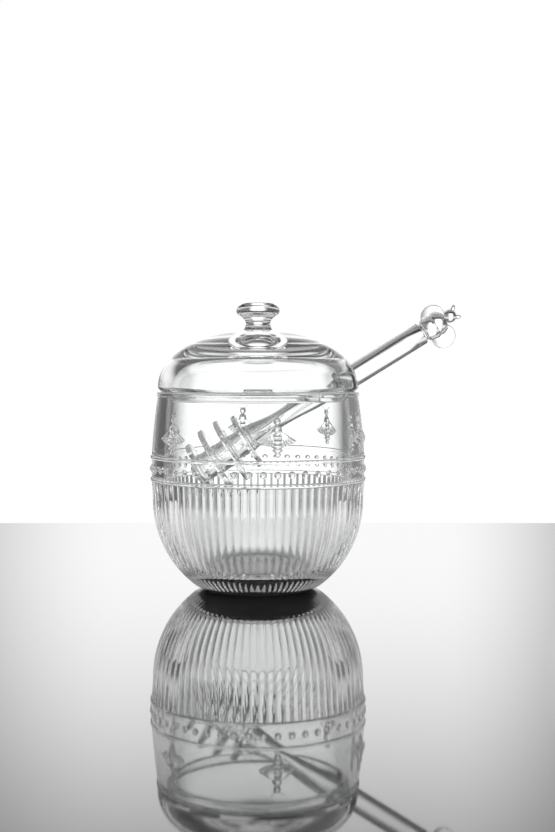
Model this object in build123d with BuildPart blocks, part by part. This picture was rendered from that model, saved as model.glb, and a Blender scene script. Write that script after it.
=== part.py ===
from build123d import *
import os
from math import asin, atan2, cos, degrees, hypot, pi, radians, sin, sqrt, tan

# A pressed-glass honey pot: a round jar with a reeded bowl, a band of beads and six bees,
# a loose domed lid with a knob, and a glass dipper that leaves through a notch in the lid.
# Millimetres, +Z up. The origin is on the jar's axis, on the surface that it stands on.
# The dipper's handle points along +X.

# ---------------------------------------------------------------- driving dimensions: jar
pot_height = 95.8           # from the table to the top of the rim
rim_radius = 49.5           # outside of the rolled lip
lip_height = 2.6            # height of the rolled lip
lip_step = 0.45             # how far the lip stands out from the neck under it
rim_bevel = 0.9             # bevel of the rim's edges
mouth_radius = 44.2         # bore of the mouth
jar_wall = 5.1              # glass between the crests of the reeds and the hollow
floor_thickness = 10.0      # solid glass under the honey
floor_corner = 12.0         # radius where the round wall turns into the flat floor
shoulder_bulge = 0.35       # how far the plain wall bows out between band and lip
band_radius = 52.0          # outside of the wall at the beaded band
band_top = 64.6             # middle of the upper ring
band_bottom = 53.6          # middle of the lower ring
ring_width = 1.6            # height of the two rings on the wall
ring_rise = 0.5             # how far the rings stand out
bowl_radius = 51.3          # ball that the crests of the reeds follow
bowl_centre = 43.1          # height of the ball's middle
foot_height = 1.8           # plain foot under the reeds
foot_radius = 26.5          # flat face that the jar stands on
reed_count = 84
reed_depth = 0.6            # from a crest to the groove beside it, at the widest place
reed_flat = 0.36            # share of a reed's pitch that is its crest
reed_levels = 7             # cross-sections that shape the round bottom

# ---------------------------------------------------------------- driving dimensions: beads, bees
bead_count = 50
bead_diameter = 3.4         # of the round bead on the wall
bead_rise = 0.8             # how far it stands out
bead_height = 58.7          # middle of the bead row
bead_start = -87.3          # degrees about +Z of the first bead
bee_count = 6
bee_start = -80.2           # degrees about +Z of the first bee
body_depth = 2.5            # axis of the bee's rounded body below the wall's surface
head_width = 3.5
head_top = 84.6             # height of the bee's head on the jar
head_length = 3.3
thorax_width = 4.7
thorax_length = 4.7
abdomen_width = 5.8
abdomen_length = 9.6
abdomen_rings = 5
groove_depth = 0.3          # grooves between the bee's rings
wing_root = 1.9             # from the bee's middle to the root of a wing
wing_root_drop = 6.4        # from the top of the head to where the wings meet the body
wing_veins = 5
front_vein = 7.5
rear_vein = 6.3
front_vein_angle = -28.0    # degrees from level
rear_vein_angle = -82.0
wing_relief = 0.5           # how far a wing stands out
wing_scallop = 0.35         # how far the wing's edge bows out between two veins
vein_width = 0.45
vein_relief = 0.85          # how far a vein stands out
feeler_length = 2.6
feeler_angle = 42.0         # degrees from level

# ---------------------------------------------------------------- driving dimensions: lid
lid_radius = 49.0
dome_rise = 27.7            # from the widest place of the lid to the top of its dome
edge_height = 2.7           # from the seat to the widest place
edge_inset = 1.5            # how far the seat's outer edge lies inside the widest place
crown_thickness = 12.5      # solid glass at the middle of the dome
wall_thickness = 5.9        # glass at the widest place of the hollow
hollow_corner = 11.5        # radius where the hollow's wall turns into its ceiling
ceiling_drop = 1.4          # how far the ceiling falls towards that corner
flange_clearance = 0.8      # between the locating flange and the mouth
flange_depth = 5.2          # below the seat
flange_thickness = 3.0
flange_bevel = 0.7
knob_height = 13.1          # above the top of the dome
knob_radius = 10.6
knob_top_radius = 7.4
knob_widest_drop = 4.0      # from the knob's top to its widest place
knob_neck_radius = 6.0
knob_neck_drop = 9.8        # from the knob's top to its neck
knob_foot_radius = 9.0
knob_foot_sink = 1.2        # foot of the knob below the top of the dome
notch_clearance = 1.5       # beside the handle
notch_headroom = 2.5        # over the handle
notch_corner = 3.0

# ---------------------------------------------------------------- driving dimensions: dipper
tilt = 31.8                 # degrees, the handle's rise outwards
handle_diameter = 11.0
seat_gap = 0.3              # between the handle and the rim that it lies on
waist_diameter = 8.0        # narrow place between handle and head
disc_count = 4
end_disc_radius = 13.4      # first and last disc
middle_disc_radius = 15.9   # the discs between them
disc_thickness = 2.3
disc_pitch = 8.6
core_diameter = 12.6        # between the discs
# places along the dipper, measured from the jar's axis, outwards positive
tip_place = -37.5
first_disc_place = -6.8
waist_place = 14.0
handle_place = 36.0         # from here on the handle has its full diameter
body_place = 94.4           # end of the handle, where the bee's body begins
body_length = 13.0
collar_length = 1.6         # the groove before the bee's body
collar_diameter = 8.6
body_crown = 0.35           # how far the bee's body swells past the handle
bee_head_radius = 3.3
bee_head_place = 110.4
disc_wing_radius = 6.0
disc_wing_thickness = 1.3
disc_wing_place = 102.2
disc_wing_offset = 5.6      # each wing's middle from the dipper's axis
disc_wing_lift = 3.9        # the wings' plane from the dipper's axis
wing_turn = 16.0            # degrees that the wings' plane is turned about the dipper
horn_radius = 1.1
horn_reach = 3.8            # from the head's middle to a horn's middle
horn_spread = 38.0          # degrees from the dipper's axis

os.makedirs("parts", exist_ok=True)

# ---------------------------------------------------------------- places shared by the pieces
lip_bottom = pot_height - lip_height
bore_radius = bowl_radius - jar_wall
neck_height = head_top - head_length
waist_height = neck_height - thorax_length
tail_height = waist_height - abdomen_length
bee_root_height = head_top - wing_root_drop
flange_radius = mouth_radius - flange_clearance
handle_radius = handle_diameter / 2
tilt_cos, tilt_sin = cos(radians(tilt)), sin(radians(tilt))
# the handle lies on the upper corner of the mouth's bevel
rest_x = mouth_radius + rim_bevel
axis_x = rest_x - (handle_radius + seat_gap) * tilt_sin
axis_z = pot_height + (handle_radius + seat_gap) * tilt_cos
axis_height = axis_z - axis_x * tan(radians(tilt))
along_handle = (tilt_cos, 0, tilt_sin)
# sketch plane through the dipper's axis: x outwards along the handle, y away from the table
dipper_side = Plane(origin=(0, 0, axis_height), x_dir=along_handle, z_dir=(0, -1, 0))


def wall_arc(relief):
    """The plain wall's outline from the upper ring to the neck, standing proud by relief."""
    low = (band_radius + relief, band_top)
    high = (rim_radius - lip_step + relief, lip_bottom)
    middle = ((low[0] + high[0]) / 2 + shoulder_bulge, (low[1] + high[1]) / 2)
    return ThreePointArc(low, middle, high)


def wall_skin(relief):
    """The inside of the plain wall as a solid of revolution, standing proud by relief."""
    with BuildPart() as skin:
        with BuildSketch(Plane.XZ):
            with BuildLine():
                outside = wall_arc(relief)
                Polyline(outside @ 1, (0, lip_bottom), (0, band_top), outside @ 0)
            make_face()
        revolve(axis=Axis.Z)
    return skin.part


def crest_radius(height):
    """Radius over the crests of the reeds at a height."""
    if height > bowl_centre:
        rise = (height - bowl_centre) / (band_bottom - bowl_centre)
        return bowl_radius + rise * (band_radius - bowl_radius)
    return sqrt(bowl_radius**2 - (bowl_centre - height) ** 2)


def vein_tips(side):
    """Where one wing's veins end, from the front one to the rear one. side is 1 or -1."""
    tips = []
    for vein in range(wing_veins):
        share = vein / (wing_veins - 1)
        angle = radians(front_vein_angle + share * (rear_vein_angle - front_vein_angle))
        reach = front_vein + share * (rear_vein - front_vein)
        tips.append((side * (wing_root + reach * cos(angle)), bee_root_height + reach * sin(angle)))
    return tips


def wall_depth(width):
    """Radius of the bee's round body where it shows this wide on the wall."""
    return hypot(width / 2, body_depth)


# ---------------------------------------------------------------- one bee, facing +X
bee_axis = band_radius + shoulder_bulge - body_depth - (band_radius - rim_radius) / 2
with BuildPart() as bee_plates:
    with BuildSketch(Plane.YZ.offset(bee_axis - body_depth)):
        for side in (1, -1):
            tips = vein_tips(side)
            with BuildLine():
                Line((0, bee_root_height), tips[0])
                for tip, next_tip in zip(tips, tips[1:]):
                    SagittaArc(tip, next_tip, side * wing_scallop)
                Line(tips[-1], (0, bee_root_height))
            make_face()
            turn = feeler_angle if side > 0 else 180 - feeler_angle
            with Locations(Location((side * head_width / 4, head_top - head_width / 4), turn)):
                Rectangle(feeler_length, vein_width, align=(Align.MIN, Align.CENTER))
    extrude(amount=3 * body_depth)
    add(wall_skin(wing_relief), mode=Mode.INTERSECT)

with BuildPart() as bee_veins:
    with BuildSketch(Plane.YZ.offset(bee_axis - body_depth)):
        for side in (1, -1):
            for tip in vein_tips(side):
                run_y, run_z = tip[0], tip[1] - bee_root_height
                with Locations(Location((0, bee_root_height), degrees(atan2(run_z, run_y)))):
                    Rectangle(hypot(run_y, run_z), vein_width, align=(Align.MIN, Align.CENTER))
    extrude(amount=3 * body_depth)
    add(wall_skin(vein_relief), mode=Mode.INTERSECT)

with BuildPart() as bee_body:
    with BuildSketch(Plane.XZ.move(Location((bee_axis, 0, 0)))):
        with BuildLine():
            groove = body_depth + groove_depth
            outline = [
                (0, head_top),
                (body_depth, head_top),
                (wall_depth(head_width), (head_top + neck_height) / 2),
                (groove, neck_height),
                (wall_depth(thorax_width), (neck_height + waist_height) / 2 + groove_depth),
                (wall_depth(thorax_width), (neck_height + waist_height) / 2 - groove_depth),
                (groove, waist_height),
            ]
            ring_height = (waist_height - tail_height) / abdomen_rings
            for ring in range(abdomen_rings):
                share = (ring + 0.5) / abdomen_rings
                width = abdomen_width * sin(pi * share**0.8) ** 0.6
                low = waist_height - (ring + 1) * ring_height
                outline.append((wall_depth(width), low + ring_height / 2))
                outline.append((wall_depth(width) - groove_depth, low))
            outline[-1] = (body_depth - groove_depth, tail_height)
            Polyline(*outline, (0, tail_height), close=True)
        make_face()
    revolve(axis=Axis((bee_axis, 0, 0), (0, 0, 1)))

# ---------------------------------------------------------------- jar
with BuildPart() as pot:
    # band, plain wall and rolled lip
    with BuildSketch(Plane.XZ):
        with BuildLine():
            wall = wall_arc(0)
            Polyline(
                wall @ 1,
                (rim_radius, lip_bottom + lip_step),
                (rim_radius, pot_height - rim_bevel),
                (rim_radius - rim_bevel, pot_height),
                (0, pot_height),
                (0, band_bottom),
                (band_radius, band_bottom),
                wall @ 0,
            )
        make_face()
    revolve(axis=Axis.Z)
    # rings above and below the beads, bevelled on both sides
    with BuildSketch(Plane.XZ):
        with Locations((band_radius, band_top), (band_radius, band_bottom)):
            Trapezoid(ring_width, ring_rise + 1, 65, rotation=-90, align=(Align.CENTER, Align.MAX))
    revolve(axis=Axis.Z)
    # beads: each is the cap of a ball that is sunk in the wall
    bead_ball = ((bead_diameter / 2) ** 2 + bead_rise**2) / (2 * bead_rise)
    with Locations((0, 0, bead_height)):
        with PolarLocations(band_radius + bead_rise - bead_ball, bead_count, start_angle=bead_start):
            Sphere(bead_ball, rotation=(0, 0, 180))
    # bees
    with PolarLocations(0, bee_count, start_angle=bee_start):
        add(bee_plates.part)
        add(bee_veins.part)
        add(bee_body.part)
    # reeds: one lobed outline, scaled to the bowl at each level
    steepest = asin((bowl_centre - foot_height) / bowl_radius)
    turns = [steepest * level / (reed_levels - 1) for level in range(reed_levels)]
    for height in [band_bottom] + [bowl_centre - bowl_radius * sin(turn) for turn in turns]:
        crest = crest_radius(height)
        valley = crest * (1 - reed_depth / band_radius)
        outline = []
        for reed in range(reed_count):
            for place, radius in ((0, valley), (0.5 - reed_flat / 2, crest), (0.5 + reed_flat / 2, crest)):
                turn = (reed + place) * 2 * pi / reed_count
                outline.append((radius * cos(turn), radius * sin(turn)))
        with BuildSketch(Plane.XY.offset(height)):
            Polygon(*outline, align=None)
    loft(ruled=True)
    # plain foot
    with BuildSketch():
        Circle(foot_radius)
    with BuildSketch(Plane.XY.offset(foot_height)):
        Circle(crest_radius(foot_height) * (1 - reed_depth / band_radius))
    loft()
    # the hollow for the honey: it follows the outside down to a rounded corner and a flat floor
    corner_drop = bowl_centre - floor_thickness - floor_corner
    corner_reach = bore_radius - floor_corner
    floor_radius = sqrt(corner_reach**2 - corner_drop**2)
    corner_top = (
        floor_radius * bore_radius / corner_reach,
        bowl_centre - corner_drop * bore_radius / corner_reach,
    )
    with BuildSketch(Plane.XZ):
        with BuildLine():
            corner = RadiusArc((floor_radius, floor_thickness), corner_top, -floor_corner)
            bottom = RadiusArc(corner_top, (bore_radius, bowl_centre), -bore_radius)
            Polyline(
                bottom @ 1,
                (bore_radius, band_top),
                (mouth_radius, pot_height - rim_bevel),
                (mouth_radius + rim_bevel, pot_height),
                (mouth_radius + rim_bevel, pot_height + 1),
                (0, pot_height + 1),
                (0, floor_thickness),
                corner @ 0,
            )
        make_face()
    revolve(axis=Axis.Z, mode=Mode.SUBTRACT)
pot.part.label = "pot"
export_step(pot.part, "parts/pot.step")

# ---------------------------------------------------------------- lid
seat_radius = lid_radius - edge_inset
dome_centre = pot_height + edge_height
dome_top = dome_centre + dome_rise
ceiling = dome_top - crown_thickness
hollow_radius = lid_radius - wall_thickness
flange_bore = flange_radius - flange_thickness
flange_bottom = pot_height - flange_depth
knob_top = dome_top + knob_height
with BuildPart() as lid:
    # dome with its tucked-in edge, and the locating flange under it
    with BuildSketch(Plane.XZ):
        with BuildLine():
            dome = EllipticalCenterArc((0, dome_centre), lid_radius, dome_rise, arc_size=90)
            Polyline(
                dome @ 0,
                (seat_radius, pot_height),
                (flange_radius, pot_height),
                (flange_radius, flange_bottom + flange_bevel),
                (flange_radius - flange_bevel, flange_bottom),
                (0, flange_bottom),
                dome @ 1,
            )
        make_face()
    revolve(axis=Axis.Z)
    # knob: a waisted neck under a round head with a flat top
    with BuildSketch(Plane.XZ):
        with BuildLine():
            head = Spline(
                (knob_top_radius, knob_top),
                (knob_radius, knob_top - knob_widest_drop),
                (knob_neck_radius, knob_top - knob_neck_drop),
                (knob_foot_radius, dome_top - knob_foot_sink),
                tangents=[(1, -0.1), (1, -0.7)],
            )
            Polyline(head @ 1, (0, dome_top - knob_foot_sink), (0, knob_top), head @ 0)
        make_face()
    revolve(axis=Axis.Z)
    # hollow under the dome: it widens upwards from the flange to a low round ceiling
    roof_radius = hollow_radius - hollow_corner
    roof_height = ceiling - ceiling_drop
    with BuildSketch(Plane.XZ):
        with BuildLine():
            roof_curve = (roof_radius**2 + ceiling_drop**2) / (2 * ceiling_drop)
            roof = RadiusArc((0, ceiling), (roof_radius, roof_height), roof_curve)
            corner = RadiusArc(roof @ 1, (hollow_radius, roof_height - hollow_corner), hollow_corner)
            Polyline(
                corner @ 1,
                (flange_bore, flange_bottom),
                (0, flange_bottom),
                (0, ceiling),
            )
        make_face()
    revolve(axis=Axis.Z, mode=Mode.SUBTRACT)
    # notch for the dipper: an arch over the handle, open downwards so that the lid lifts off
    notch_width = handle_diameter + 2 * notch_clearance
    notch_start = dipper_side.from_local_coords(Vector(waist_place, 0, 0))
    with BuildSketch(Plane(origin=notch_start, x_dir=(0, 1, 0), z_dir=along_handle)):
        with Locations((0, handle_radius + notch_headroom)):
            arch = Rectangle(notch_width, pot_height, align=(Align.CENTER, Align.MAX))
        fillet(arch.vertices().group_by(Axis.Z)[-1], notch_corner)
    extrude(amount=pot_height, mode=Mode.SUBTRACT)
lid.part.label = "lid"
export_step(lid.part, "parts/lid.step")

# ---------------------------------------------------------------- dipper
core_radius = core_diameter / 2
last_disc_place = first_disc_place - (disc_count - 1) * disc_pitch
body_end = body_place + body_length
body_start = body_place + collar_length
bee_neck_radius = sqrt(bee_head_radius**2 - (bee_head_place - body_end) ** 2)
turn_cos, turn_sin = cos(radians(wing_turn)), sin(radians(wing_turn))
bee_back = (tilt_sin * turn_sin, -turn_cos, -tilt_cos * turn_sin)
bee_plane = Plane(origin=(0, 0, axis_height), x_dir=along_handle, z_dir=bee_back)
with BuildPart() as dipper:
    # the discs' core, waist, handle and the bee's body and head in one turning
    with BuildSketch(dipper_side):
        with BuildLine():
            tip = ThreePointArc(
                (tip_place, 0),
                (tip_place + 0.3 * core_radius, 0.7 * core_radius),
                (tip_place + core_radius, core_radius),
            )
            head_end = (first_disc_place + disc_thickness / 2, core_radius)
            Line(tip @ 1, head_end)
            waist = Spline(
                head_end,
                (waist_place, waist_diameter / 2),
                (handle_place, handle_radius),
                tangents=[(1, -0.2), (1, 0)],
            )
            Polyline(
                waist @ 1,
                (body_place, handle_radius),
                (body_place, collar_diameter / 2),
                (body_start, collar_diameter / 2),
                (body_start, handle_radius),
            )
            body = ThreePointArc(
                (body_start, handle_radius),
                (body_start + 0.45 * body_length, handle_radius + body_crown),
                (body_end - bee_head_radius, handle_radius - body_crown),
            )
            Polyline(body @ 1, (body_end, bee_head_radius), (body_end, bee_neck_radius))
            bee_head = ThreePointArc(
                (body_end, bee_neck_radius),
                (bee_head_place, bee_head_radius),
                (bee_head_place + bee_head_radius, 0),
            )
            Line(bee_head @ 1, tip @ 0)
        make_face()
        disc_middle = (first_disc_place + last_disc_place) / 2
        for count, radius in ((disc_count, end_disc_radius), (disc_count - 2, middle_disc_radius)):
            with Locations((disc_middle, 0)), GridLocations(disc_pitch, 0, count, 1):
                Rectangle(disc_thickness, radius, align=(Align.CENTER, Align.MIN))
    revolve(axis=Axis((0, 0, axis_height), along_handle))
    # the bee's horns and wings
    with BuildSketch(bee_plane.offset(-horn_radius / 2)):
        for side in (1, -1):
            spread = radians(side * horn_spread)
            middle = (bee_head_place + horn_reach * cos(spread), horn_reach * sin(spread))
            with Locations(Location(middle, side * horn_spread)):
                Ellipse(1.8 * horn_radius, horn_radius)
    extrude(amount=horn_radius)
    with BuildSketch(bee_plane.offset(disc_wing_lift)):
        with Locations((disc_wing_place, disc_wing_offset), (disc_wing_place, -disc_wing_offset)):
            Circle(disc_wing_radius)
    extrude(amount=disc_wing_thickness)
dipper.part.label = "dipper"
export_step(dipper.part, "parts/dipper.step")
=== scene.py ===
import logging
import math
from collections.abc import Callable, Sequence
from dataclasses import dataclass
from enum import Enum

import bpy
from mathutils import Matrix, Vector


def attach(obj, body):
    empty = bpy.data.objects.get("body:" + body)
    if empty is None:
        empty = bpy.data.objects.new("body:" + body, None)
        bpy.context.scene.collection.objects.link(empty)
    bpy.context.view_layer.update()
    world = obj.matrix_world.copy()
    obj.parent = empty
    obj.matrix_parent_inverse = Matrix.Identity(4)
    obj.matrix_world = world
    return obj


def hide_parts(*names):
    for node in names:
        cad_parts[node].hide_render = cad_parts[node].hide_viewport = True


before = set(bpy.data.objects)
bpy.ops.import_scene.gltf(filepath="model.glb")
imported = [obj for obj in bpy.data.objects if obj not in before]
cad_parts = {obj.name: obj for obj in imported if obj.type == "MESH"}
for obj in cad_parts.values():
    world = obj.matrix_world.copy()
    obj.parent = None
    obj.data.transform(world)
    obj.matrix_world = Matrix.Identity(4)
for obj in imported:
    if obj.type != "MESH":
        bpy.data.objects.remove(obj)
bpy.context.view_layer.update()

log = logging.getLogger("honey_pot")

Point = tuple[float, float]

# Pieces are shaped in millimetres, in the frame of the CAD bodies, and brought to metres last.
METRES = 0.001
# Vertices nearer than this many millimetres are one.
WELD = 0.002
# Edges sharper than this many degrees stay crisp.
CREASE = 34.0


class Cut(Enum):
    """What a boolean does with the second piece."""

    JOIN = "UNION"
    TAKE_AWAY = "DIFFERENCE"


# ---------------------------------------------------------------- outlines


def arc(centre: Point, radius: float, start: float, end: float, steps: int) -> list[Point]:
    """Points of a circular arc.

    Args:
        centre: middle of the circle, as distance from the axis and height.
        radius: of the circle.
        start: first direction, in degrees from outwards.
        end: last direction, in degrees.
        steps: how many stretches the arc has.

    Returns:
        The points, both ends included.
    """
    turns = [math.radians(start + (end - start) * i / steps) for i in range(steps + 1)]
    return [(centre[0] + radius * math.cos(t), centre[1] + radius * math.sin(t)) for t in turns]


def bowed(start: Point, end: Point, bulge: float, steps: int) -> list[Point]:
    """Points of a shallow arc between two points.

    Args:
        start: first point.
        end: last point.
        bulge: how far the middle lies outwards of the straight line.
        steps: how many stretches the arc has.

    Returns:
        The points, both ends included.
    """
    shares = [i / steps for i in range(steps + 1)]
    return [
        (
            start[0] + (end[0] - start[0]) * s + 4 * bulge * s * (1 - s),
            start[1] + (end[1] - start[1]) * s,
        )
        for s in shares
    ]


def flowing(points: Sequence[Point], steps: int) -> list[Point]:
    """A smooth line through a few points.

    Args:
        points: where the line passes.
        steps: how many stretches lie between two of them.

    Returns:
        The points of the line, both ends included.
    """
    padded = [points[0], *points, points[-1]]
    line = []
    for before, here, there, after in zip(padded, padded[1:], padded[2:], padded[3:]):
        for i in range(steps):
            s = i / steps
            weights = (
                -0.5 * s + s**2 - 0.5 * s**3,
                1 - 2.5 * s**2 + 1.5 * s**3,
                0.5 * s + 2 * s**2 - 1.5 * s**3,
                -0.5 * s**2 + 0.5 * s**3,
            )
            corners = (before, here, there, after)
            line.append(tuple(sum(w * c[k] for w, c in zip(weights, corners)) for k in (0, 1)))
    return [*line, points[-1]]


# ---------------------------------------------------------------- the bench


class Bench:
    """Modelling steps that the sub-assemblies share. Lengths are millimetres."""

    @staticmethod
    def clear() -> None:
        """Goes to object mode with nothing selected, so that an operator acts on new work alone."""
        if bpy.context.mode != "OBJECT":
            bpy.ops.object.mode_set(mode="OBJECT")
        bpy.ops.object.select_all(action="DESELECT")

    @staticmethod
    def take(piece: bpy.types.Object, *others: bpy.types.Object) -> None:
        """Selects pieces.

        Args:
            piece: becomes the active one.
            others: selected with it.
        """
        Bench.clear()
        for each in (piece, *others):
            each.select_set(True)
        bpy.context.view_layer.objects.active = piece

    @staticmethod
    def settle(piece: bpy.types.Object) -> bpy.types.Object:
        """Puts a piece's place, turn and scale into its mesh.

        Args:
            piece: the piece to settle.

        Returns:
            The same piece, at the origin.
        """
        Bench.take(piece)
        bpy.ops.object.transform_apply(location=True, rotation=True, scale=True)
        return piece

    @staticmethod
    def edit(piece: bpy.types.Object, kind: str = "VERT") -> None:
        """Opens a piece for editing with all of it selected.

        Args:
            piece: the piece to edit.
            kind: what is selected, vertices or edges.
        """
        Bench.take(piece)
        bpy.ops.object.mode_set(mode="EDIT")
        bpy.ops.mesh.select_mode(type=kind)
        bpy.ops.mesh.select_all(action="SELECT")

    @staticmethod
    def pick(piece: bpy.types.Object, wanted: Callable[[Vector], bool]) -> None:
        """Opens the piece for editing with only the wanted vertices selected.

        Args:
            piece: the piece to edit.
            wanted: says of a vertex's place whether it is taken.
        """
        Bench.edit(piece)
        bpy.ops.mesh.select_all(action="DESELECT")
        bpy.ops.object.mode_set(mode="OBJECT")
        for vertex in piece.data.vertices:
            vertex.select = wanted(vertex.co)
        bpy.ops.object.mode_set(mode="EDIT")

    @staticmethod
    def lathe(name: str, outline: Sequence[Point], steps: int) -> bpy.types.Object:
        """Turns an outline round the upright axis.

        Args:
            name: of the new piece.
            outline: points as distance from the axis and height.
            steps: divisions of the full turn.

        Returns:
            The turned piece, with its doubles merged.
        """
        Bench.clear()
        bpy.ops.mesh.primitive_plane_add(size=1, location=(outline[0][0], 0, outline[0][1]))
        piece = bpy.context.object
        piece.name = piece.data.name = name
        Bench.settle(piece)
        Bench.edit(piece)
        bpy.ops.mesh.merge(type="CENTER")
        for here, there in zip(outline, outline[1:]):
            step = (there[0] - here[0], 0, there[1] - here[1])
            bpy.ops.mesh.extrude_vertices_move(TRANSFORM_OT_translate={"value": step})
        bpy.ops.mesh.select_all(action="SELECT")
        bpy.ops.mesh.spin(steps=steps, angle=math.tau, center=(0, 0, 0), axis=(0, 0, 1))
        Bench.tidy(piece)
        return piece

    @staticmethod
    def tidy(piece: bpy.types.Object) -> None:
        """Merges doubles and turns the faces outwards.

        Args:
            piece: the piece to tidy.
        """
        Bench.edit(piece)
        bpy.ops.mesh.remove_doubles(threshold=WELD)
        bpy.ops.mesh.normals_make_consistent(inside=False)
        Bench.clear()

    @staticmethod
    def modify(piece: bpy.types.Object, kind: str, **settings: object) -> None:
        """Adds a modifier and applies it.

        Args:
            piece: the piece to change.
            kind: Blender's name of the modifier.
            settings: its settings by name.
        """
        Bench.take(piece)
        bpy.ops.object.modifier_add(type=kind)
        modifier = piece.modifiers[-1]
        for key, value in settings.items():
            setattr(modifier, key, value)
        bpy.ops.object.modifier_apply(modifier=modifier.name)

    @staticmethod
    def combine(piece: bpy.types.Object, tool: bpy.types.Object, cut: Cut) -> None:
        """Joins the tool to the piece or cuts it out of it, and removes the tool."""
        Bench.modify(piece, "BOOLEAN", operation=cut.value, solver="MANIFOLD", object=tool)
        bpy.data.objects.remove(tool, do_unlink=True)

    @staticmethod
    def join(name: str, pieces: Sequence[bpy.types.Object]) -> bpy.types.Object:
        """Makes one mesh of several pieces.

        Args:
            name: of the whole.
            pieces: what it is made of.

        Returns:
            The joined piece.
        """
        Bench.take(pieces[0], *pieces[1:])
        if len(pieces) > 1:
            bpy.ops.object.join()
        joined = bpy.context.object
        joined.name = joined.data.name = name
        return joined

    @staticmethod
    def ring_of(piece: bpy.types.Object, count: int) -> None:
        """Repeats a piece round the upright axis, as copies in its own mesh.

        Args:
            piece: the first of the ring.
            count: how many stand in the ring.
        """
        Bench.edit(piece)
        last_turn = math.tau * (count - 1) / count
        bpy.ops.mesh.spin(
            steps=count - 1, dupli=True, angle=last_turn, center=(0, 0, 0), axis=(0, 0, 1)
        )
        Bench.clear()

    @staticmethod
    def ball(place: Sequence[float], size: Sequence[float], fine: int = 24) -> bpy.types.Object:
        """A stretched ball for a body part.

        Args:
            place: its middle.
            size: its three half-widths.
            fine: segments round it.

        Returns:
            The ball.
        """
        Bench.clear()
        bpy.ops.mesh.primitive_uv_sphere_add(
            segments=fine, ring_count=fine // 2, radius=1, location=place, scale=size
        )
        return Bench.settle(bpy.context.object)

    @staticmethod
    def rod(start: Vector, end: Vector, thick: float, thin: float) -> bpy.types.Object:
        """A round tapered rod between two points.

        Args:
            start: middle of the thick end.
            end: middle of the thin end.
            thick: radius at the start.
            thin: radius at the end.

        Returns:
            The rod.
        """
        Bench.clear()
        run = end - start
        turn = run.to_track_quat("Z", "Y").to_euler()
        bpy.ops.mesh.primitive_cone_add(
            vertices=14,
            radius1=thick,
            radius2=thin,
            depth=run.length,
            location=(start + end) / 2,
            rotation=turn,
        )
        return Bench.settle(bpy.context.object)

    @staticmethod
    def finish(
        piece: bpy.types.Object, body: str, slot: str, finish: "ClearGlass"
    ) -> bpy.types.Object:
        """Brings a piece to metres, smooths and dresses it, and hangs it on its body.

        Args:
            piece: the shaped piece, in millimetres.
            body: the CAD body and node that it stands for.
            slot: not used.
            finish: what it is made of.

        Returns:
            The finished piece.
        """
        Bench.edit(piece)
        bpy.ops.transform.resize(value=(METRES,) * 3, center_override=(0, 0, 0))
        Bench.take(piece)
        bpy.ops.object.shade_smooth_by_angle(angle=math.radians(CREASE))
        piece.data.materials.clear()
        piece.data.materials.append(finish.material())
        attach(piece, body)
        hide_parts(body)
        triangles = sum(len(face.vertices) - 2 for face in piece.data.polygons)
        log.info("%s: %d triangles", piece.name, triangles)
        return piece


# ---------------------------------------------------------------- finishes


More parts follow.
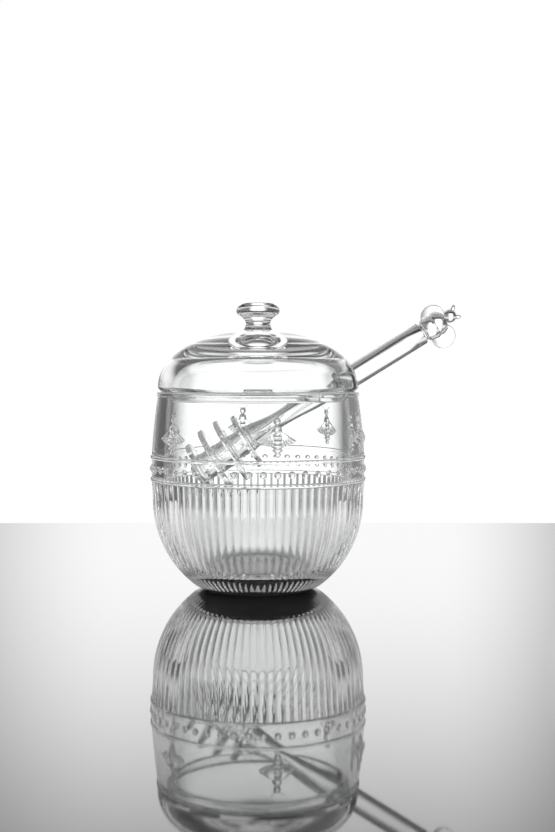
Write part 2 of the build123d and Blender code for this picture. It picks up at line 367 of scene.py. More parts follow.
@dataclass(frozen=True)
class ClearGlass:
    """Clear fire-polished glass with the faint waves that a mould or a flame leaves."""

    name: str
    tint: tuple[float, float, float] = (0.985, 0.99, 0.99)
    index: float = 1.52
    wave_scale: float = 55.0
    wave_depth: float = 0.00002
    grain_scale: float = 900.0
    grain_depth: float = 0.0000015
    haze: float = 0.012
    haze_patches: tuple[float, float] = (0.45, 0.75)
    tint_drift: float = 1.008

    def material(self) -> bpy.types.Material:
        """Builds the node material.

        Returns:
            The glass, with its patterns in the piece's own space.
        """
        material = bpy.data.materials.new(self.name)
        material.use_nodes = True
        nodes, links = material.node_tree.nodes, material.node_tree.links
        nodes.clear()
        output = nodes.new("ShaderNodeOutputMaterial")
        glass = nodes.new("ShaderNodeBsdfPrincipled")
        glass.inputs["Transmission Weight"].default_value = 1.0
        glass.inputs["IOR"].default_value = self.index
        links.new(glass.outputs["BSDF"], output.inputs["Surface"])
        place = nodes.new("ShaderNodeTexCoord")

        # slow waves left by the mould, and a much finer skin
        waves = self._noise(nodes, links, place, self.wave_scale, 1.0)
        grain = self._noise(nodes, links, place, self.grain_scale, 3.0)
        slow = nodes.new("ShaderNodeBump")
        slow.inputs["Distance"].default_value = self.wave_depth
        links.new(waves.outputs["Fac"], slow.inputs["Height"])
        fine = nodes.new("ShaderNodeBump")
        fine.inputs["Distance"].default_value = self.grain_depth
        links.new(grain.outputs["Fac"], fine.inputs["Height"])
        links.new(slow.outputs["Normal"], fine.inputs["Normal"])
        links.new(fine.outputs["Normal"], glass.inputs["Normal"])

        # a breath of haze in patches, and a tint that drifts a little
        patches = self._noise(nodes, links, place, self.wave_scale * 0.6, 2.0)
        haze = nodes.new("ShaderNodeMapRange")
        haze.inputs["From Min"].default_value = self.haze_patches[0]
        haze.inputs["From Max"].default_value = self.haze_patches[1]
        haze.inputs["To Max"].default_value = self.haze
        links.new(patches.outputs["Fac"], haze.inputs["Value"])
        links.new(haze.outputs["Result"], glass.inputs["Roughness"])
        drift = nodes.new("ShaderNodeMix")
        drift.data_type = "RGBA"
        drift.inputs["A"].default_value = (*self.tint, 1)
        paler = (min(1.0, part * self.tint_drift) for part in self.tint)
        drift.inputs["B"].default_value = (*paler, 1)
        links.new(waves.outputs["Fac"], drift.inputs["Factor"])
        links.new(drift.outputs["Result"], glass.inputs["Base Color"])
        return material

    @staticmethod
    def _noise(
        nodes: bpy.types.Nodes,
        links: bpy.types.NodeLinks,
        place: bpy.types.Node,
        scale: float,
        detail: float,
    ) -> bpy.types.Node:
        """A noise texture in the piece's own space.

        Args:
            nodes: where the texture is added.
            links: where it is joined up.
            place: the Texture Coordinate node.
            scale: how fine the pattern is.
            detail: how many finer layers it has.

        Returns:
            The texture.
        """
        noise = nodes.new("ShaderNodeTexNoise")
        noise.inputs["Scale"].default_value = scale
        noise.inputs["Detail"].default_value = detail
        links.new(place.outputs["Object"], noise.inputs["Vector"])
        return noise


# ---------------------------------------------------------------- bee relief


@dataclass
class BeeRelief:
    """A bee as the mould presses it on the wall: head up, wings swept down and out."""

    head_top: float = 84.6
    head_half: float = 1.75
    neck: float = 81.3
    thorax_half: float = 2.35
    waist: float = 76.6
    abdomen_half: float = 2.9
    tail: float = 67.0
    abdomen_rings: int = 5
    body_rise: float = 1.6
    wing_root: float = 1.5
    wing_height: float = 78.4
    wing_veins: int = 5
    front_vein: float = 8.2
    rear_vein: float = 6.6
    front_angle: float = -33.0
    rear_angle: float = -82.0
    wing_rise: float = 0.5
    vein_rise: float = 1.3
    vein_half: float = 0.33
    web_bow: float = 0.35
    feeler: float = 2.7
    feeler_angle: float = 40.0
    depth: float = 1.0
    voxel: float = 0.19
    triangles: int = 8000

    def build(self, wall: Callable[[float], float]) -> bpy.types.Object:
        """Models the bee flat, melts its parts into one and wraps it on the wall.

        Args:
            wall: radius of the jar's wall at a height.

        Returns:
            One closed bee at the front of the jar, reaching into its wall.
        """
        parts = [*self._body(), *self._wing(1), *self._wing(-1), *self._feelers()]
        bee = Bench.join("bee", parts)
        Bench.modify(bee, "REMESH", mode="VOXEL", voxel_size=self.voxel)
        Bench.modify(bee, "SMOOTH", factor=0.5, iterations=2)
        ratio = self.triangles / (2 * len(bee.data.polygons))
        Bench.modify(bee, "DECIMATE", ratio=min(1.0, ratio))
        for vertex in bee.data.vertices:
            across, out, height = vertex.co
            radius = wall(height) - out
            turn = across / wall(height)
            vertex.co = (radius * math.sin(turn), -radius * math.cos(turn), height)
        return bee

    def _body(self) -> list[bpy.types.Object]:
        """Head, thorax and ringed abdomen, as balls that bulge from the wall. Outwards is -Y.

        Returns:
            The balls, from the head to the tail.
        """
        rise = self.body_rise
        head_middle = (self.head_top + self.neck) / 2
        parts = [
            Bench.ball(
                (0, 0, head_middle), (self.head_half, rise * 0.95, self.head_top - head_middle)
            )
        ]
        thorax_middle = (self.neck + self.waist) / 2
        parts.append(
            Bench.ball(
                (0, 0, thorax_middle),
                (self.thorax_half, rise * 1.15, (self.neck - self.waist) / 2 + 0.1),
            )
        )
        pitch = (self.waist - self.tail) / self.abdomen_rings
        for ring in range(self.abdomen_rings):
            share = (ring + 0.5) / self.abdomen_rings
            swell = math.sin(math.pi * min(1.0, 0.1 + share * 0.86) ** 0.85) ** 0.55
            half = self.abdomen_half * swell
            middle = self.waist - (ring + 0.5) * pitch
            parts.append(Bench.ball((0, 0, middle), (half, rise * half / 2.6, pitch * 0.58)))
        parts.append(Bench.ball((0, 0, self.tail + 0.5), (0.5, 0.45, 0.9), 12))
        return parts

    def _wing(self, side: int) -> list[bpy.types.Object]:
        """One wing: webs between spread veins, scalloped at their outer edge.

        Args:
            side: 1 for the bee's one side, -1 for the other.

        Returns:
            The webs and veins.
        """
        root = Vector((side * self.wing_root, 0, self.wing_height))
        tips = []
        for vein in range(self.wing_veins):
            share = vein / (self.wing_veins - 1)
            angle = math.radians(self.front_angle + share * (self.rear_angle - self.front_angle))
            reach = self.front_vein + share * (self.rear_vein - self.front_vein)
            tips.append(root + reach * Vector((side * math.cos(angle), 0, math.sin(angle))))
        rise = Vector((0, self.vein_rise - self.vein_half, 0))
        thick, thin = self.vein_half * 0.8, self.vein_half * 1.2
        veins = [Bench.rod(root.lerp(tip, 0.06) - rise, tip - rise, thick, thin) for tip in tips]
        return veins + [self._web(root, *pair) for pair in zip(tips, tips[1:])]

    def _web(self, root: Vector, tip: Vector, next_tip: Vector) -> bpy.types.Object:
        """The thin web between two veins, with a rounded outer edge.

        Args:
            root: where the veins meet.
            tip: outer end of the one vein.
            next_tip: outer end of the other.

        Returns:
            The web, as a closed plate that reaches into the wall.
        """
        Bench.clear()
        bpy.ops.mesh.primitive_plane_add(size=1)
        web = bpy.context.object
        Bench.edit(web)
        bpy.ops.mesh.merge(type="CENTER")
        middle = (tip + next_tip) / 2
        bow = (middle - root).normalized() * self.web_bow
        rim = [tip, tip.lerp(next_tip, 0.25) + bow * 0.8, middle + bow]
        rim += [tip.lerp(next_tip, 0.75) + bow * 0.8, next_tip]
        here = Vector((0, 0, 0))
        for there in [root, *rim]:
            bpy.ops.mesh.extrude_vertices_move(TRANSFORM_OT_translate={"value": there - here})
            here = there
        # the line starts at the origin, and that first point isn't part of the web
        Bench.pick(web, lambda at: at.length < WELD)
        bpy.ops.mesh.delete(type="VERT")
        bpy.ops.mesh.select_all(action="SELECT")
        bpy.ops.mesh.edge_face_add()
        bpy.ops.mesh.extrude_region_move(
            TRANSFORM_OT_translate={"value": (0, self.depth + self.wing_rise, 0)}
        )
        bpy.ops.mesh.select_all(action="SELECT")
        bpy.ops.transform.translate(value=(0, -self.wing_rise, 0))
        bpy.ops.mesh.normals_make_consistent(inside=False)
        Bench.clear()
        return web

    def _feelers(self) -> list[bpy.types.Object]:
        """Two thin feelers that splay from the head.

        Returns:
            Their rods and the small balls at their ends.
        """
        parts = []
        for side in (1, -1):
            start = Vector((side * self.head_half * 0.45, -0.2, self.head_top - 0.6))
            angle = math.radians(self.feeler_angle)
            end = start + self.feeler * Vector((side * math.cos(angle), 0, math.sin(angle)))
            parts.append(Bench.rod(start, end, 0.26, 0.22))
            parts.append(Bench.ball(end, (0.33, 0.33, 0.33), 12))
        return parts


# ---------------------------------------------------------------- jar


@dataclass
class Jar:
    """The round jar: rolled rim, plain wall with bees, beaded band, reeded bowl, thick floor."""

    height: float = 95.8
    rim_radius: float = 49.5
    neck_radius: float = 49.05
    lip_height: float = 2.6
    lip_round: float = 0.9
    mouth_radius: float = 44.2
    bore_radius: float = 46.2
    floor_thickness: float = 10.0
    floor_corner: float = 12.0
    shoulder_bulge: float = 0.35
    band_radius: float = 52.0
    band_top: float = 64.3
    band_bottom: float = 53.7
    ring_half: float = 0.95
    ring_rise: float = 0.55
    bowl_radius: float = 51.3
    bowl_centre: float = 43.1
    foot_height: float = 1.8
    foot_radius: float = 26.5
    reed_count: int = 84
    reed_depth: float = 0.6
    reed_top: float = 52.5
    reed_parts: int = 6
    bead_count: int = 50
    bead_radius: float = 1.7
    bead_rise: float = 0.8
    bead_height: float = 58.7
    bead_turn: float = 2.7
    bee_count: int = 6
    bee_turn: float = 9.8
    inner_steps: int = 168

    def build(self, finish: ClearGlass) -> bpy.types.Object:
        """Models the jar and dresses it.

        Args:
            finish: the jar's glass.

        Returns:
            The finished jar.
        """
        outside = Bench.lathe("reeded_jar", self._outside(), self.reed_count * self.reed_parts)
        self._press_reeds(outside)
        inside = Bench.lathe("jar_inside", self._inside(), self.inner_steps)
        jar = Bench.join("reeded_jar", [outside, inside])
        Bench.edit(jar)
        bpy.ops.mesh.select_all(action="DESELECT")
        bpy.ops.mesh.select_non_manifold()
        bpy.ops.mesh.bridge_edge_loops()
        Bench.tidy(jar)
        Bench.combine(jar, self._beads(), Cut.JOIN)
        Bench.combine(jar, self._bees(), Cut.JOIN)
        return Bench.finish(jar, "pot", "jar_glass", finish)

    def wall(self, height: float) -> float:
        """Radius of the plain wall.

        Args:
            height: where, over the foot.

        Returns:
            The distance from the axis.
        """
        top = self.height - self.lip_height
        share = (height - self.band_top) / (top - self.band_top)
        straight = self.band_radius + share * (self.neck_radius - self.band_radius)
        return straight + 4 * self.shoulder_bulge * share * (1 - share)

    def crest(self, height: float) -> float:
        """Radius over the crests of the reeds.

        Args:
            height: where, over the foot.

        Returns:
            The distance from the axis.
        """
        if height > self.bowl_centre:
            rise = (height - self.bowl_centre) / (self.band_bottom - self.bowl_centre)
            return self.bowl_radius + rise**1.5 * (self.band_radius - self.bowl_radius)
        return math.sqrt(self.bowl_radius**2 - (self.bowl_centre - height) ** 2)

    def _ring(self, height: float) -> list[Point]:
        """Outline of a half-round ring on the wall.

        Args:
            height: its middle.

        Returns:
            The points from its lower to its upper edge.
        """
        half_turns = [math.pi * (i / 8 - 0.5) for i in range(9)]
        return [
            (
                self.band_radius + self.ring_rise * math.cos(turn) ** 0.8,
                height + self.ring_half * math.sin(turn),
            )
            for turn in half_turns
        ]

    def _outside(self) -> list[Point]:
        """Outline of the outside.

        Returns:
            The points from the middle of the foot to the flat top of the rim.
        """
        valley = 1 - self.reed_depth / self.band_radius
        outline = [(0, 0), (self.foot_radius * 0.55, 0), (self.foot_radius - 0.5, 0)]
        outline += [(self.foot_radius, 0.2), (28.4, 0.95)]
        outline.append((self.crest(self.foot_height) * valley, self.foot_height))
        drop = self.foot_height + 0.2 - self.bowl_centre
        start = math.degrees(math.asin(drop / self.bowl_radius))
        outline += arc((0, self.bowl_centre), self.bowl_radius, start, 0, 22)
        step = (self.reed_top - 0.6 - self.bowl_centre) / 5
        heights = [self.bowl_centre + step * i for i in range(1, 6)]
        heights += [self.reed_top - 0.3, self.reed_top - 0.1, self.reed_top]
        outline += [(self.crest(h), h) for h in heights]
        outline += self._ring(self.band_bottom)
        low, high = self.band_bottom + self.ring_half, self.band_top - self.ring_half
        outline += [(self.band_radius, low + (high - low) * i / 8) for i in range(1, 8)]
        outline += self._ring(self.band_top)
        low, top = self.band_top + self.ring_half, self.height - self.lip_height
        outline += [(self.wall(h), h) for h in (low + (top - low) * i / 20 for i in range(1, 21))]
        lip = self.rim_radius - self.lip_round
        outline += [(self.neck_radius + 0.12, top + 0.12), (self.rim_radius - 0.05, top + 0.45)]
        outline += arc((lip, self.height - self.lip_round), self.lip_round, 0, 90, 5)
        return [*outline, (lip - 1.2, self.height)]

    def _inside(self) -> list[Point]:
        """Outline of the hollow.

        Returns:
            The points from the flat top of the rim to the middle of the floor.
        """
        edge = self.mouth_radius + self.lip_round
        outline = [(edge + 1.0, self.height)]
        outline += arc((edge, self.height - self.lip_round), self.lip_round, 90, 180, 5)
        outline += bowed(
            (self.mouth_radius, self.height - self.lip_round - 0.4),
            (self.bore_radius, self.band_bottom + 3),
            0.5,
            14,
        )
        drop = self.bowl_centre - self.floor_thickness - self.floor_corner
        last = -math.degrees(math.asin(drop / (self.bore_radius - self.floor_corner)))
        outline += arc((0, self.bowl_centre), self.bore_radius, 0, last, 24)
        floor_radius = math.sqrt((self.bore_radius - self.floor_corner) ** 2 - drop**2)
        corner = (floor_radius, self.floor_thickness + self.floor_corner)
        outline += arc(corner, self.floor_corner, last, -90, 14)[1:]
        outline += [(floor_radius * share, self.floor_thickness) for share in (0.66, 0.33, 0)]
        return outline

    def _press_reeds(self, outside: bpy.types.Object) -> None:
        """Draws the grooves between the reeds inwards, and rounds the reeds' upper ends.

        Args:
            outside: the jar's turned outside, with columns for each reed.
        """
        columns = self.reed_count * self.reed_parts
        low, high = self.foot_height + 0.1, self.reed_top + 0.05

        def column(place: Vector) -> int:
            """Which part of its reed a vertex lies on."""
            return round(math.atan2(place.y, place.x) / math.tau * columns) % self.reed_parts

        for part in range(self.reed_parts // 2):
            drop = (1 - 2 * part / self.reed_parts) ** 2
            pair = {part, (self.reed_parts - part) % self.reed_parts}
            Bench.pick(outside, lambda at, pair=pair: low < at.z < high and column(at) in pair)
            size = 1 - drop * self.reed_depth / self.band_radius
            bpy.ops.transform.resize(value=(size, size, 1), center_override=(0, 0, 0))
        for below, share in ((0.1, 1.0), (0.3, 0.35)):
            level = self.reed_top + 0.1 - below
            for part in range(1, self.reed_parts):
                drop = 1 - (1 - 2 * part / self.reed_parts) ** 2
                Bench.pick(
                    outside,
                    lambda at, part=part, level=level: abs(at.z - level) < 0.06
                    and column(at) == part,
                )
                size = 1 - share * drop * self.reed_depth / self.band_radius
                bpy.ops.transform.resize(value=(size, size, 1), center_override=(0, 0, 0))
        Bench.clear()

    def _beads(self) -> bpy.types.Object:
        """The row of round beads.

        Returns:
            Balls sunk in the wall, in one mesh.
        """
        ball = (self.bead_radius**2 + self.bead_rise**2) / (2 * self.bead_rise)
        place = self.band_radius + self.bead_rise - ball
        Bench.clear()
        bpy.ops.mesh.primitive_uv_sphere_add(
            segments=24,
            ring_count=14,
            radius=ball,
            location=(0, -place, self.bead_height),
            rotation=(math.radians(90), 0, 0),
        )
        beads = Bench.settle(bpy.context.object)
        beads.name = "beads"
        self._turn(beads, self.bead_turn)
        Bench.ring_of(beads, self.bead_count)
        return beads

    def _bees(self) -> bpy.types.Object:
        """The ring of bees."""
        bees = BeeRelief().build(self.wall)
        self._turn(bees, self.bee_turn)
        Bench.ring_of(bees, self.bee_count)
        return bees

    @staticmethod
    def _turn(piece: bpy.types.Object, degrees: float) -> None:
        """Turns a piece's mesh about the jar's axis."""
        piece.data.transform(Matrix.Rotation(math.radians(degrees), 4, "Z"))


# ---------------------------------------------------------------- dipper's line


@dataclass(frozen=True)
class Lean:
    """The line that the dipper lies on, from the jar's axis upwards and outwards."""

    degrees: float = 31.8
    height: float = 74.661

    def matrix(self) -> Matrix:
        """Carries the upright axis to the dipper's line. The turned X axis looks down."""
        place = Matrix.Translation((0, 0, self.height))
        return place @ Matrix.Rotation(math.radians(90 - self.degrees), 4, "Y")


LEAN = Lean()


# ---------------------------------------------------------------- lid


@dataclass
class Lid:
    """The loose lid: a thick dome with its knob, a locating flange and a notch for the dipper."""

    seat: float = 95.8
    seat_air: float = 0.04
    radius: float = 49.0
    dome_rise: float = 27.7
    edge_height: float = 2.7
    edge_inset: float = 1.5
    crown: float = 12.5
    wall: float = 5.9
    corner: float = 16.0
    ceiling_drop: float = 2.0
    flange_radius: float = 43.4
    flange_bore: float = 40.4
    flange_depth: float = 5.2
    flange_round: float = 0.7
    knob_height: float = 13.1
    knob_foot: float = 11.0
    notch_half: float = 7.0
    notch_top: float = 8.0
    notch_corner: float = 3.0
    notch_depth: float = 45.0
    notch_middle: float = 50.0
    notch_reach: float = 72.0
    steps: int = 256

    def build(self, finish: ClearGlass) -> bpy.types.Object:
        """Models the lid and dresses it.

        Args:
            finish: the lid's glass.

        Returns:
            The finished lid.
        """
        lid = Bench.lathe("domed_lid", self._outline(), self.steps)
        Bench.combine(lid, self._notch(), Cut.TAKE_AWAY)
        return Bench.finish(lid, "lid", "lid_glass", finish)

    def _outline(self) -> list[Point]:
        """Closed outline of the lid.

        Returns:
            The points from the top of the knob round the outside to the hollow's ceiling.
        """
        widest = self.seat + self.edge_height
        top = widest + self.dome_rise
        knob = top + self.knob_height
        outline = [(0, knob), (4.0, knob - 0.05), (6.8, knob - 0.25)]
        outline += flowing(
            [
                (7.8, knob - 0.55),
                (9.9, knob - 2.1),
                (10.6, knob - 4.1),
                (9.7, knob - 6.0),
                (7.4, knob - 7.6),
                (6.15, knob - 9.2),
                (6.0, knob - 10.4),
                (6.5, knob - 12.2),
                (7.5, knob - 13.5),
                (9.6, knob - 14.1),
            ],
            5,
        )
        first = math.acos(self.knob_foot / self.radius)
        turns = [first * (1 - i / 44) for i in range(45)]
        outline += [
            (self.radius * math.cos(t), widest + self.dome_rise * math.sin(t)) for t in turns
        ]
        seat_edge = self.radius - self.edge_inset
        outline += flowing(
            [
                (self.radius, widest),
                (self.radius - 0.12, widest - 1.0),
                (seat_edge + 0.6, self.seat + 0.7),
                (seat_edge, self.seat + 0.12),
            ],
            4,
        )[1:]
        seat = self.seat + self.seat_air
        outline += [(seat_edge - 0.35, seat), (self.flange_radius + 0.3, seat)]
        bottom = self.seat - self.flange_depth
        turn = self.flange_round
        outline += [(self.flange_radius, self.seat - 0.3)]
        outline += arc((self.flange_radius - turn, bottom + turn), turn, 0, -90, 4)
        outline += arc((self.flange_bore + turn, bottom + turn), turn, -90, -180, 4)
        hollow = self.radius - self.wall
        ceiling = top - self.crown
        roof_radius, roof_height = hollow - self.corner, ceiling - self.ceiling_drop
        outline += flowing(
            [
                (self.flange_bore, bottom + turn),
                (self.flange_bore, self.seat - 2.8),
                (self.flange_bore + 0.15, self.seat - 1.4),
            ],
            3,
        )
        throat_foot, throat_top = self.seat - 1.4, roof_height - self.corner
        flare = hollow - self.flange_bore - 0.15
        for i in range(1, 13):
            left = 1 - i / 12
            height = throat_top - (throat_top - throat_foot) * left
            outline.append((hollow - flare * left**2, height))
        outline += arc((roof_radius, throat_top), self.corner, 0, 84, 14)[1:]
        roof = (roof_radius**2 + self.ceiling_drop**2) / (2 * self.ceiling_drop)
        low = math.degrees(math.acos(roof_radius / roof))
        outline += arc((0, ceiling - roof), roof, low, 90, 14)
        return outline

    def _notch(self) -> bpy.types.Object:
        """What the notch takes away: a long block along the dipper, rounded over the handle.

        Returns:
            The block, in the lid's place.
        """
        width, top, depth = 2 * self.notch_half, self.notch_top, self.notch_depth
        Bench.clear()
        # the turned X axis looks down at the table, so the block reaches from -top to depth
        bpy.ops.mesh.primitive_cube_add(
            size=1,
            location=((depth - top) / 2, 0, self.notch_middle),
            scale=(depth + top, width, self.notch_reach),
        )
        tool = Bench.settle(bpy.context.object)
        tool.name = "notch"
        Bench.edit(tool, "EDGE")
        bpy.ops.mesh.select_all(action="DESELECT")
        bpy.ops.object.mode_set(mode="OBJECT")
        for edge in tool.data.edges:
            ends = [tool.data.vertices[i].co for i in edge.vertices]
            edge.select = all(end.x < 0 for end in ends) and abs(ends[0].z - ends[1].z) > 1
        bpy.ops.object.mode_set(mode="EDIT")
        bpy.ops.mesh.bevel(offset=self.notch_corner, segments=8, affect="EDGES")
        Bench.clear()
        tool.data.transform(LEAN.matrix())
        return tool


# ---------------------------------------------------------------- dipper


@dataclass
class Dipper:
    """The glass dipper: four discs, a waist, a round handle and a small bee at the end."""

    handle_radius: float = 5.5
    waist_radius: float = 4.0
    core_radius: float = 6.3
    disc_radii: tuple[float, ...] = (13.4, 15.9, 15.9, 13.4)
    disc_half: float = 1.15
    disc_pitch: float = 8.6
    first_disc: float = -6.8
    tip: float = -37.5
    waist_place: float = 14.0
    handle_place: float = 36.0
    body_place: float = 94.4
    body_end: float = 107.4
    collar: float = 1.6
    collar_radius: float = 4.3
    head_place: float = 110.4
    head_radius: float = 3.3
    wing_radius: float = 6.0
    wing_place: float = 102.2
    wing_offset: float = 5.6
    wing_lift: float = 3.9
    wing_thickness: float = 1.3
    wing_turn: float = 16.0
    wing_edge: float = 0.5
    horn_place: float = 3.8
    horn_spread: float = 38.0
    horn_half: tuple[float, float, float] = (1.1, 0.8, 2.0)
    steps: int = 96

    def build(self, finish: ClearGlass) -> bpy.types.Object:
        """Models the dipper upright, leans it over the rim and dresses it.

        Args:
            finish: the dipper's glass.

        Returns:
            The finished dipper.
        """
        dipper = Bench.lathe("bee_dipper", self._outline(), self.steps)
        for part in [*self._wings(), *self._horns()]:
            Bench.combine(dipper, part, Cut.JOIN)
        dipper.data.transform(LEAN.matrix())
        return Bench.finish(dipper, "dipper", "dipper_glass", finish)

    def _outline(self) -> list[Point]:
        """Outline of the dipper, upright.

        Returns:
            The points from the tip to the end of the bee's head.
        """
        core, handle = self.core_radius, self.handle_radius
        outline = [(0, self.tip), (1.6, self.tip + 0.15), (3.3, self.tip + 0.7)]
        outline += [(4.9, self.tip + 1.9), (5.9, self.tip + 3.6), (core, self.tip + 5.6)]
        edge = 0.2
        for disc, reach in reversed(list(enumerate(self.disc_radii))):
            middle = self.first_disc - disc * self.disc_pitch
            low, high = middle - self.disc_half, middle + self.disc_half
            outline += [(core + 0.15, low - 0.25), (core + 0.5, low), (reach * 0.7, low)]
            outline += arc((reach - edge, low + edge), edge, -90, 0, 2)
            outline += arc((reach - edge, high - edge), edge, 0, 90, 2)
            outline += [(reach * 0.7, high), (core + 0.5, high), (core + 0.15, high + 0.25)]
            if disc:
                outline += [(core, middle + self.disc_pitch / 2)]
        outline += flowing(
            [
                (core, self.first_disc + self.disc_half + 1.2),
                (5.1, 2.5),
                (4.15, 9.0),
                (self.waist_radius, self.waist_place),
                (4.35, 21.0),
                (5.15, 29.0),
                (handle, self.handle_place),
            ],
            6,
        )
        span = self.body_place - self.handle_place
        outline += [(handle, self.handle_place + span * i / 6) for i in range(1, 6)]
        outline += [(handle, self.body_place - 0.5), (handle - 0.3, self.body_place)]
        outline += [(self.collar_radius, self.body_place + 0.25)]
        start = self.body_place + self.collar
        outline += [(self.collar_radius, start - 0.25), (handle - 0.35, start)]
        outline += flowing(
            [
                (handle, start + 0.5),
                (handle + 0.3, start + 3.2),
                (handle + 0.15, start + 5.2),
                (handle - 0.25, start + 5.9),
                (handle + 0.1, start + 6.6),
                (handle - 0.1, start + 8.4),
                (handle - 0.9, self.body_end - 1.2),
                (self.head_radius + 0.2, self.body_end - 0.2),
            ],
            3,
        )
        neck = self.head_place - self.body_end
        first = -math.degrees(math.asin(neck / self.head_radius))
        outline += arc((0, self.head_place), self.head_radius, first, 90, 16)
        return outline

    def _wings(self) -> list[bpy.types.Object]:
        """Two thin round wings on the bee's back.

        Returns:
            The wings.
        """
        wings = []
        for side in (1, -1):
            Bench.clear()
            bpy.ops.mesh.primitive_cylinder_add(
                vertices=48,
                radius=self.wing_radius,
                depth=self.wing_thickness,
                location=(side * self.wing_offset, 0, self.wing_place),
                rotation=(math.radians(90), 0, 0),
            )
            wing = Bench.settle(bpy.context.object)
            wing.data.transform(
                Matrix.Translation((0, -self.wing_lift - self.wing_thickness / 2, 0))
            )
            wing.data.transform(Matrix.Rotation(math.radians(self.wing_turn), 4, "Z"))
            Bench.modify(wing, "BEVEL", width=self.wing_edge, segments=3, limit_method="ANGLE")
            wings.append(wing)
        return wings

    def _horns(self) -> list[bpy.types.Object]:
        """Two small lobes on the bee's head.

        Returns:
            The lobes.
        """
        horns = []
        for side in (1, -1):
            spread = math.radians(side * self.horn_spread)
            across, along = math.sin(spread), math.cos(spread)
            place = (self.horn_place * across, 0, self.head_place + self.horn_place * along)
            horn = Bench.ball((0, 0, 0), self.horn_half)
            horn.data.transform(
                Matrix.Rotation(math.radians(self.wing_turn), 4, "Z")
                @ Matrix.Translation(place)
                @ Matrix.Rotation(spread, 4, "Y")
            )
            horns.append(horn)
        return horns


# ---------------------------------------------------------------- studio


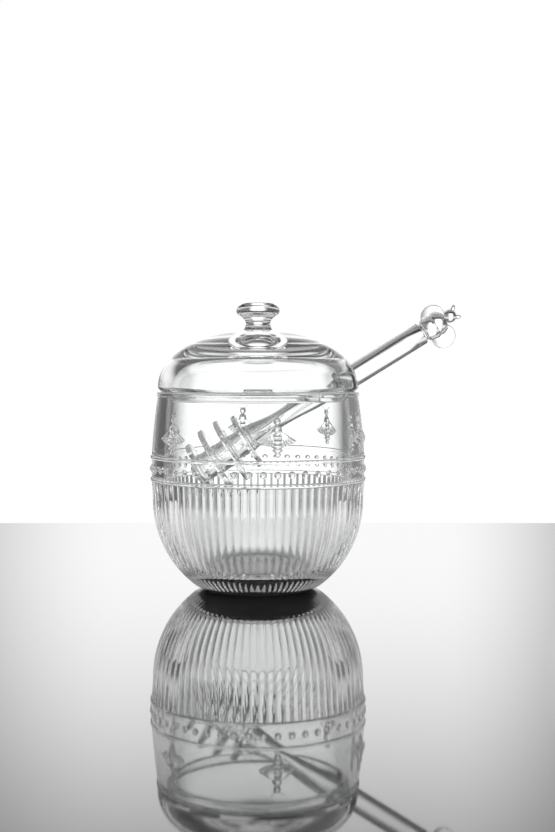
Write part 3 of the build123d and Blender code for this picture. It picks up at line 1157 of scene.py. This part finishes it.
@dataclass
class Studio:
    """Camera, pale table, white surroundings and soft light."""

    eye_height: float = 0.1035
    eye_distance: float = 0.623
    focal_pixels: float = 1272.0
    frame_width: int = 555
    frame_height: int = 832
    axis_column: float = 258.0
    eye_row: float = 375.8
    sensor: float = 36.0
    table_back: float = 0.271
    table_front: float = 2.0
    table_width: float = 5.0
    backdrop: float = 1.3
    backdrop_left: tuple[float, float] = (6.0, 22.0)
    backdrop_right: tuple[float, float] = (8.0, 21.0)
    backdrop_top: tuple[float, float] = (26.0, 49.0)
    backdrop_foot: tuple[float, float] = (9.0, 17.0)
    left_side: float = 0.12
    right_side: float = 0.24
    side_turn: float = 37.0
    side_edge: tuple[float, float] = (62.0, 100.0)
    upper_panels: float = 0.9
    panel_foot: tuple[float, float] = (2.0, 12.0)
    panel_top: tuple[float, float] = (14.0, 26.0)
    room: float = 0.02
    table_shine: float = 0.73
    table_shine_fade: tuple[float, float] = (0.128, 0.51)
    table_polish: float = 0.03
    # painted light: a lighter grey copy of the table's dark body, seen only through glass and in
    # reflections
    table_painted_lit_grey: float = 0.25
    table_black: float = 0.025
    table_pale: float = 0.85
    table_facing: tuple[float, float] = (-0.85, -0.3)
    bounces: int = 32
    lamp_place: tuple[float, float, float] = (-0.5, -0.5, 1.2)
    lamp_aim: tuple[float, float, float] = (0, 0, 0.06)
    lamp_size: float = 0.8
    lamp_watts: float = 2.0

    def build(self) -> None:
        """Sets up everything that isn't part of the object."""
        scene = bpy.context.scene
        scene.view_settings.view_transform = "Standard"
        # light crosses many glass walls before it leaves the pot
        scene.cycles.max_bounces = self.bounces
        scene.cycles.transmission_bounces = self.bounces
        scene.cycles.glossy_bounces = self.bounces
        self._camera()
        self._table()
        self._world()
        self._lamp()

    def _camera(self) -> None:
        """The camera looks level along +Y, with the frame shifted as a view camera's."""
        bpy.ops.object.camera_add(
            location=(0, -self.eye_distance, self.eye_height), rotation=(math.radians(90), 0, 0)
        )
        camera = bpy.context.object
        camera.data.sensor_width = self.sensor
        camera.data.lens = self.focal_pixels / self.frame_height * self.sensor
        camera.data.shift_x = (self.frame_width / 2 - self.axis_column) / self.frame_height
        camera.data.shift_y = -(self.frame_height / 2 - self.eye_row) / self.frame_height
        camera.data.clip_start, camera.data.clip_end = 0.01, 50
        bpy.context.scene.camera = camera

    @staticmethod
    def _fade(nodes: bpy.types.Nodes, full: float, none: float) -> bpy.types.Node:
        """A smooth fall from 1 to 0.

        Args:
            nodes: where the node is added.
            full: the value at which it is still 1.
            none: the value at which it has come to 0.

        Returns:
            The Map Range node.
        """
        node = nodes.new("ShaderNodeMapRange")
        node.interpolation_type = "SMOOTHSTEP"
        node.inputs["From Min"].default_value = full
        node.inputs["From Max"].default_value = none
        node.inputs["To Min"].default_value = 1
        node.inputs["To Max"].default_value = 0
        return node

    def _table(self) -> None:
        """A plain polished table: a mirror against the backdrop, a pale sheet from elsewhere."""
        Bench.clear()
        bpy.ops.mesh.primitive_plane_add(size=1)
        table = bpy.context.object
        table.name = "table"
        deep = self.table_front + self.table_back
        table.data.transform(Matrix.Diagonal((self.table_width, deep, 1, 1)))
        table.data.transform(Matrix.Translation((0, deep / 2 - self.table_front, 0)))
        material = bpy.data.materials.new("table_top")
        material.use_nodes = True
        nodes, links = material.node_tree.nodes, material.node_tree.links
        nodes.clear()
        output = nodes.new("ShaderNodeOutputMaterial")
        # painted light: glass sees the table's body in a lighter grey than the eye does, a lit copy
        # of the dark sheet that brightens the table seen through the jar; to the eye the sheet is a
        # dark mirror
        body = nodes.new("ShaderNodeMixShader")
        path = nodes.new("ShaderNodeLightPath")
        links.new(path.outputs["Is Camera Ray"], body.inputs["Fac"])
        for socket, grey in zip(body.inputs[1:], (self.table_painted_lit_grey, self.table_black)):
            shade = nodes.new("ShaderNodeBsdfDiffuse")
            shade.inputs["Color"].default_value = (grey, grey, grey, 1)
            links.new(shade.outputs["BSDF"], socket)
        polish = nodes.new("ShaderNodeBsdfGlossy")
        polish.inputs["Color"].default_value = (1, 1, 1, 1)
        polish.inputs["Roughness"].default_value = self.table_polish

        # the flatter a ray meets the table, the more of it is mirrored
        slant = nodes.new("ShaderNodeLayerWeight")
        slant.inputs["Blend"].default_value = 0.5
        low, high = self.table_shine_fade
        shine = self._fade(nodes, 1 - low, 1 - high)
        shine.inputs["To Min"].default_value = self.table_shine
        links.new(slant.outputs["Facing"], shine.inputs["Value"])
        mirror = nodes.new("ShaderNodeMixShader")
        links.new(shine.outputs["Result"], mirror.inputs["Fac"])
        links.new(body.outputs["Shader"], mirror.inputs[1])
        links.new(polish.outputs["BSDF"], mirror.inputs[2])

        # seen against the backdrop it is that mirror, from the sides and from behind a pale sheet
        ray = nodes.new("ShaderNodeNewGeometry")
        split = nodes.new("ShaderNodeSeparateXYZ")
        links.new(ray.outputs["Incoming"], split.inputs["Vector"])
        low, high = self.table_facing
        facing = self._fade(nodes, high, low)
        links.new(split.outputs["Y"], facing.inputs["Value"])
        pale = nodes.new("ShaderNodeBsdfDiffuse")
        pale.inputs["Color"].default_value = (self.table_pale,) * 3 + (1,)
        mix = nodes.new("ShaderNodeMixShader")
        links.new(facing.outputs["Result"], mix.inputs["Fac"])
        links.new(mirror.outputs["Shader"], mix.inputs[1])
        links.new(pale.outputs["BSDF"], mix.inputs[2])
        links.new(mix.outputs["Shader"], output.inputs["Surface"])
        table.data.materials.append(material)

    def _world(self) -> None:
        """White to the eye. Glass sees a wide lit backdrop with dim surroundings."""
        world = bpy.context.scene.world or bpy.data.worlds.new("studio")
        bpy.context.scene.world = world
        world.use_nodes = True
        nodes, links = world.node_tree.nodes, world.node_tree.links
        nodes.clear()

        def sums(kind: str, *inputs: object) -> bpy.types.NodeSocket:
            """A Math node of this kind on sockets or numbers."""
            node = nodes.new("ShaderNodeMath")
            node.operation = kind
            for socket, value in zip(node.inputs, inputs):
                if isinstance(value, bpy.types.NodeSocket):
                    links.new(value, socket)
                else:
                    socket.default_value = value
            return node.outputs[0]

        def inside(value: bpy.types.NodeSocket, low: float, high: float) -> bpy.types.NodeSocket:
            """1 below low degrees, 0 above high degrees, smooth between."""
            node = self._fade(nodes, math.radians(low), math.radians(high))
            links.new(value, node.inputs["Value"])
            return node.outputs["Result"]

        place = nodes.new("ShaderNodeTexCoord")
        split = nodes.new("ShaderNodeSeparateXYZ")
        links.new(place.outputs["Generated"], split.inputs["Vector"])
        height = sums("ARCSINE", split.outputs["Z"])
        turn = sums("ARCTAN2", split.outputs["X"], split.outputs["Y"])
        screen = sums("MULTIPLY", inside(height, *self.backdrop_top), self.backdrop)
        screen = sums("MULTIPLY", screen, inside(turn, *self.backdrop_right))
        screen = sums("MULTIPLY", screen, inside(sums("MULTIPLY", turn, -1), *self.backdrop_left))
        leftness = inside(sums("ARCSINE", split.outputs["X"]), -self.side_turn, self.side_turn)
        walls = sums(
            "ADD", sums("MULTIPLY", leftness, self.left_side - self.right_side), self.right_side
        )
        depth = sums("MULTIPLY", height, -1)
        low, high = self.panel_foot
        panels = sums("MULTIPLY", inside(depth, -high, -low), self.upper_panels)
        panels = sums("MULTIPLY", panels, inside(height, *self.panel_top))
        walls = sums("MAXIMUM", walls, panels)
        walls = sums("MULTIPLY", walls, inside(sums("ABSOLUTE", turn), *self.side_edge))
        lit = sums("MULTIPLY", sums("MAXIMUM", screen, walls), inside(depth, *self.backdrop_foot))
        strength = sums("MAXIMUM", lit, self.room)
        seen = nodes.new("ShaderNodeBackground")
        links.new(strength, seen.inputs["Strength"])
        white = nodes.new("ShaderNodeBackground")
        white.inputs["Strength"].default_value = 1
        for glow in (seen, white):
            glow.inputs["Color"].default_value = (1, 1, 1, 1)
        path = nodes.new("ShaderNodeLightPath")
        plain = sums("MAXIMUM", path.outputs["Is Camera Ray"], path.outputs["Is Diffuse Ray"])
        mix = nodes.new("ShaderNodeMixShader")
        output = nodes.new("ShaderNodeOutputWorld")
        links.new(plain, mix.inputs["Fac"])
        links.new(seen.outputs["Background"], mix.inputs[1])
        links.new(white.outputs["Background"], mix.inputs[2])
        links.new(mix.outputs["Shader"], output.inputs["Surface"])

    def _lamp(self) -> None:
        """One large soft lamp above, a little to the front."""
        bpy.ops.object.light_add(type="AREA", location=self.lamp_place)
        lamp = bpy.context.object
        lamp.data.size = self.lamp_size
        lamp.data.energy = self.lamp_watts
        aim = Vector(self.lamp_aim) - lamp.location
        lamp.rotation_euler = aim.to_track_quat("-Z", "Y").to_euler()


def main() -> None:
    """Builds the studio and the three pieces."""
    logging.basicConfig(level=logging.INFO, format="%(name)s %(message)s")
    Bench.clear()
    Studio().build()
    Jar().build(ClearGlass("jar_glass_clear"))
    Lid().build(ClearGlass("lid_glass_clear"))
    Dipper().build(ClearGlass("dipper_glass_clear", wave_scale=90.0))
    Bench.clear()


if __name__ == "__main__":
    main()
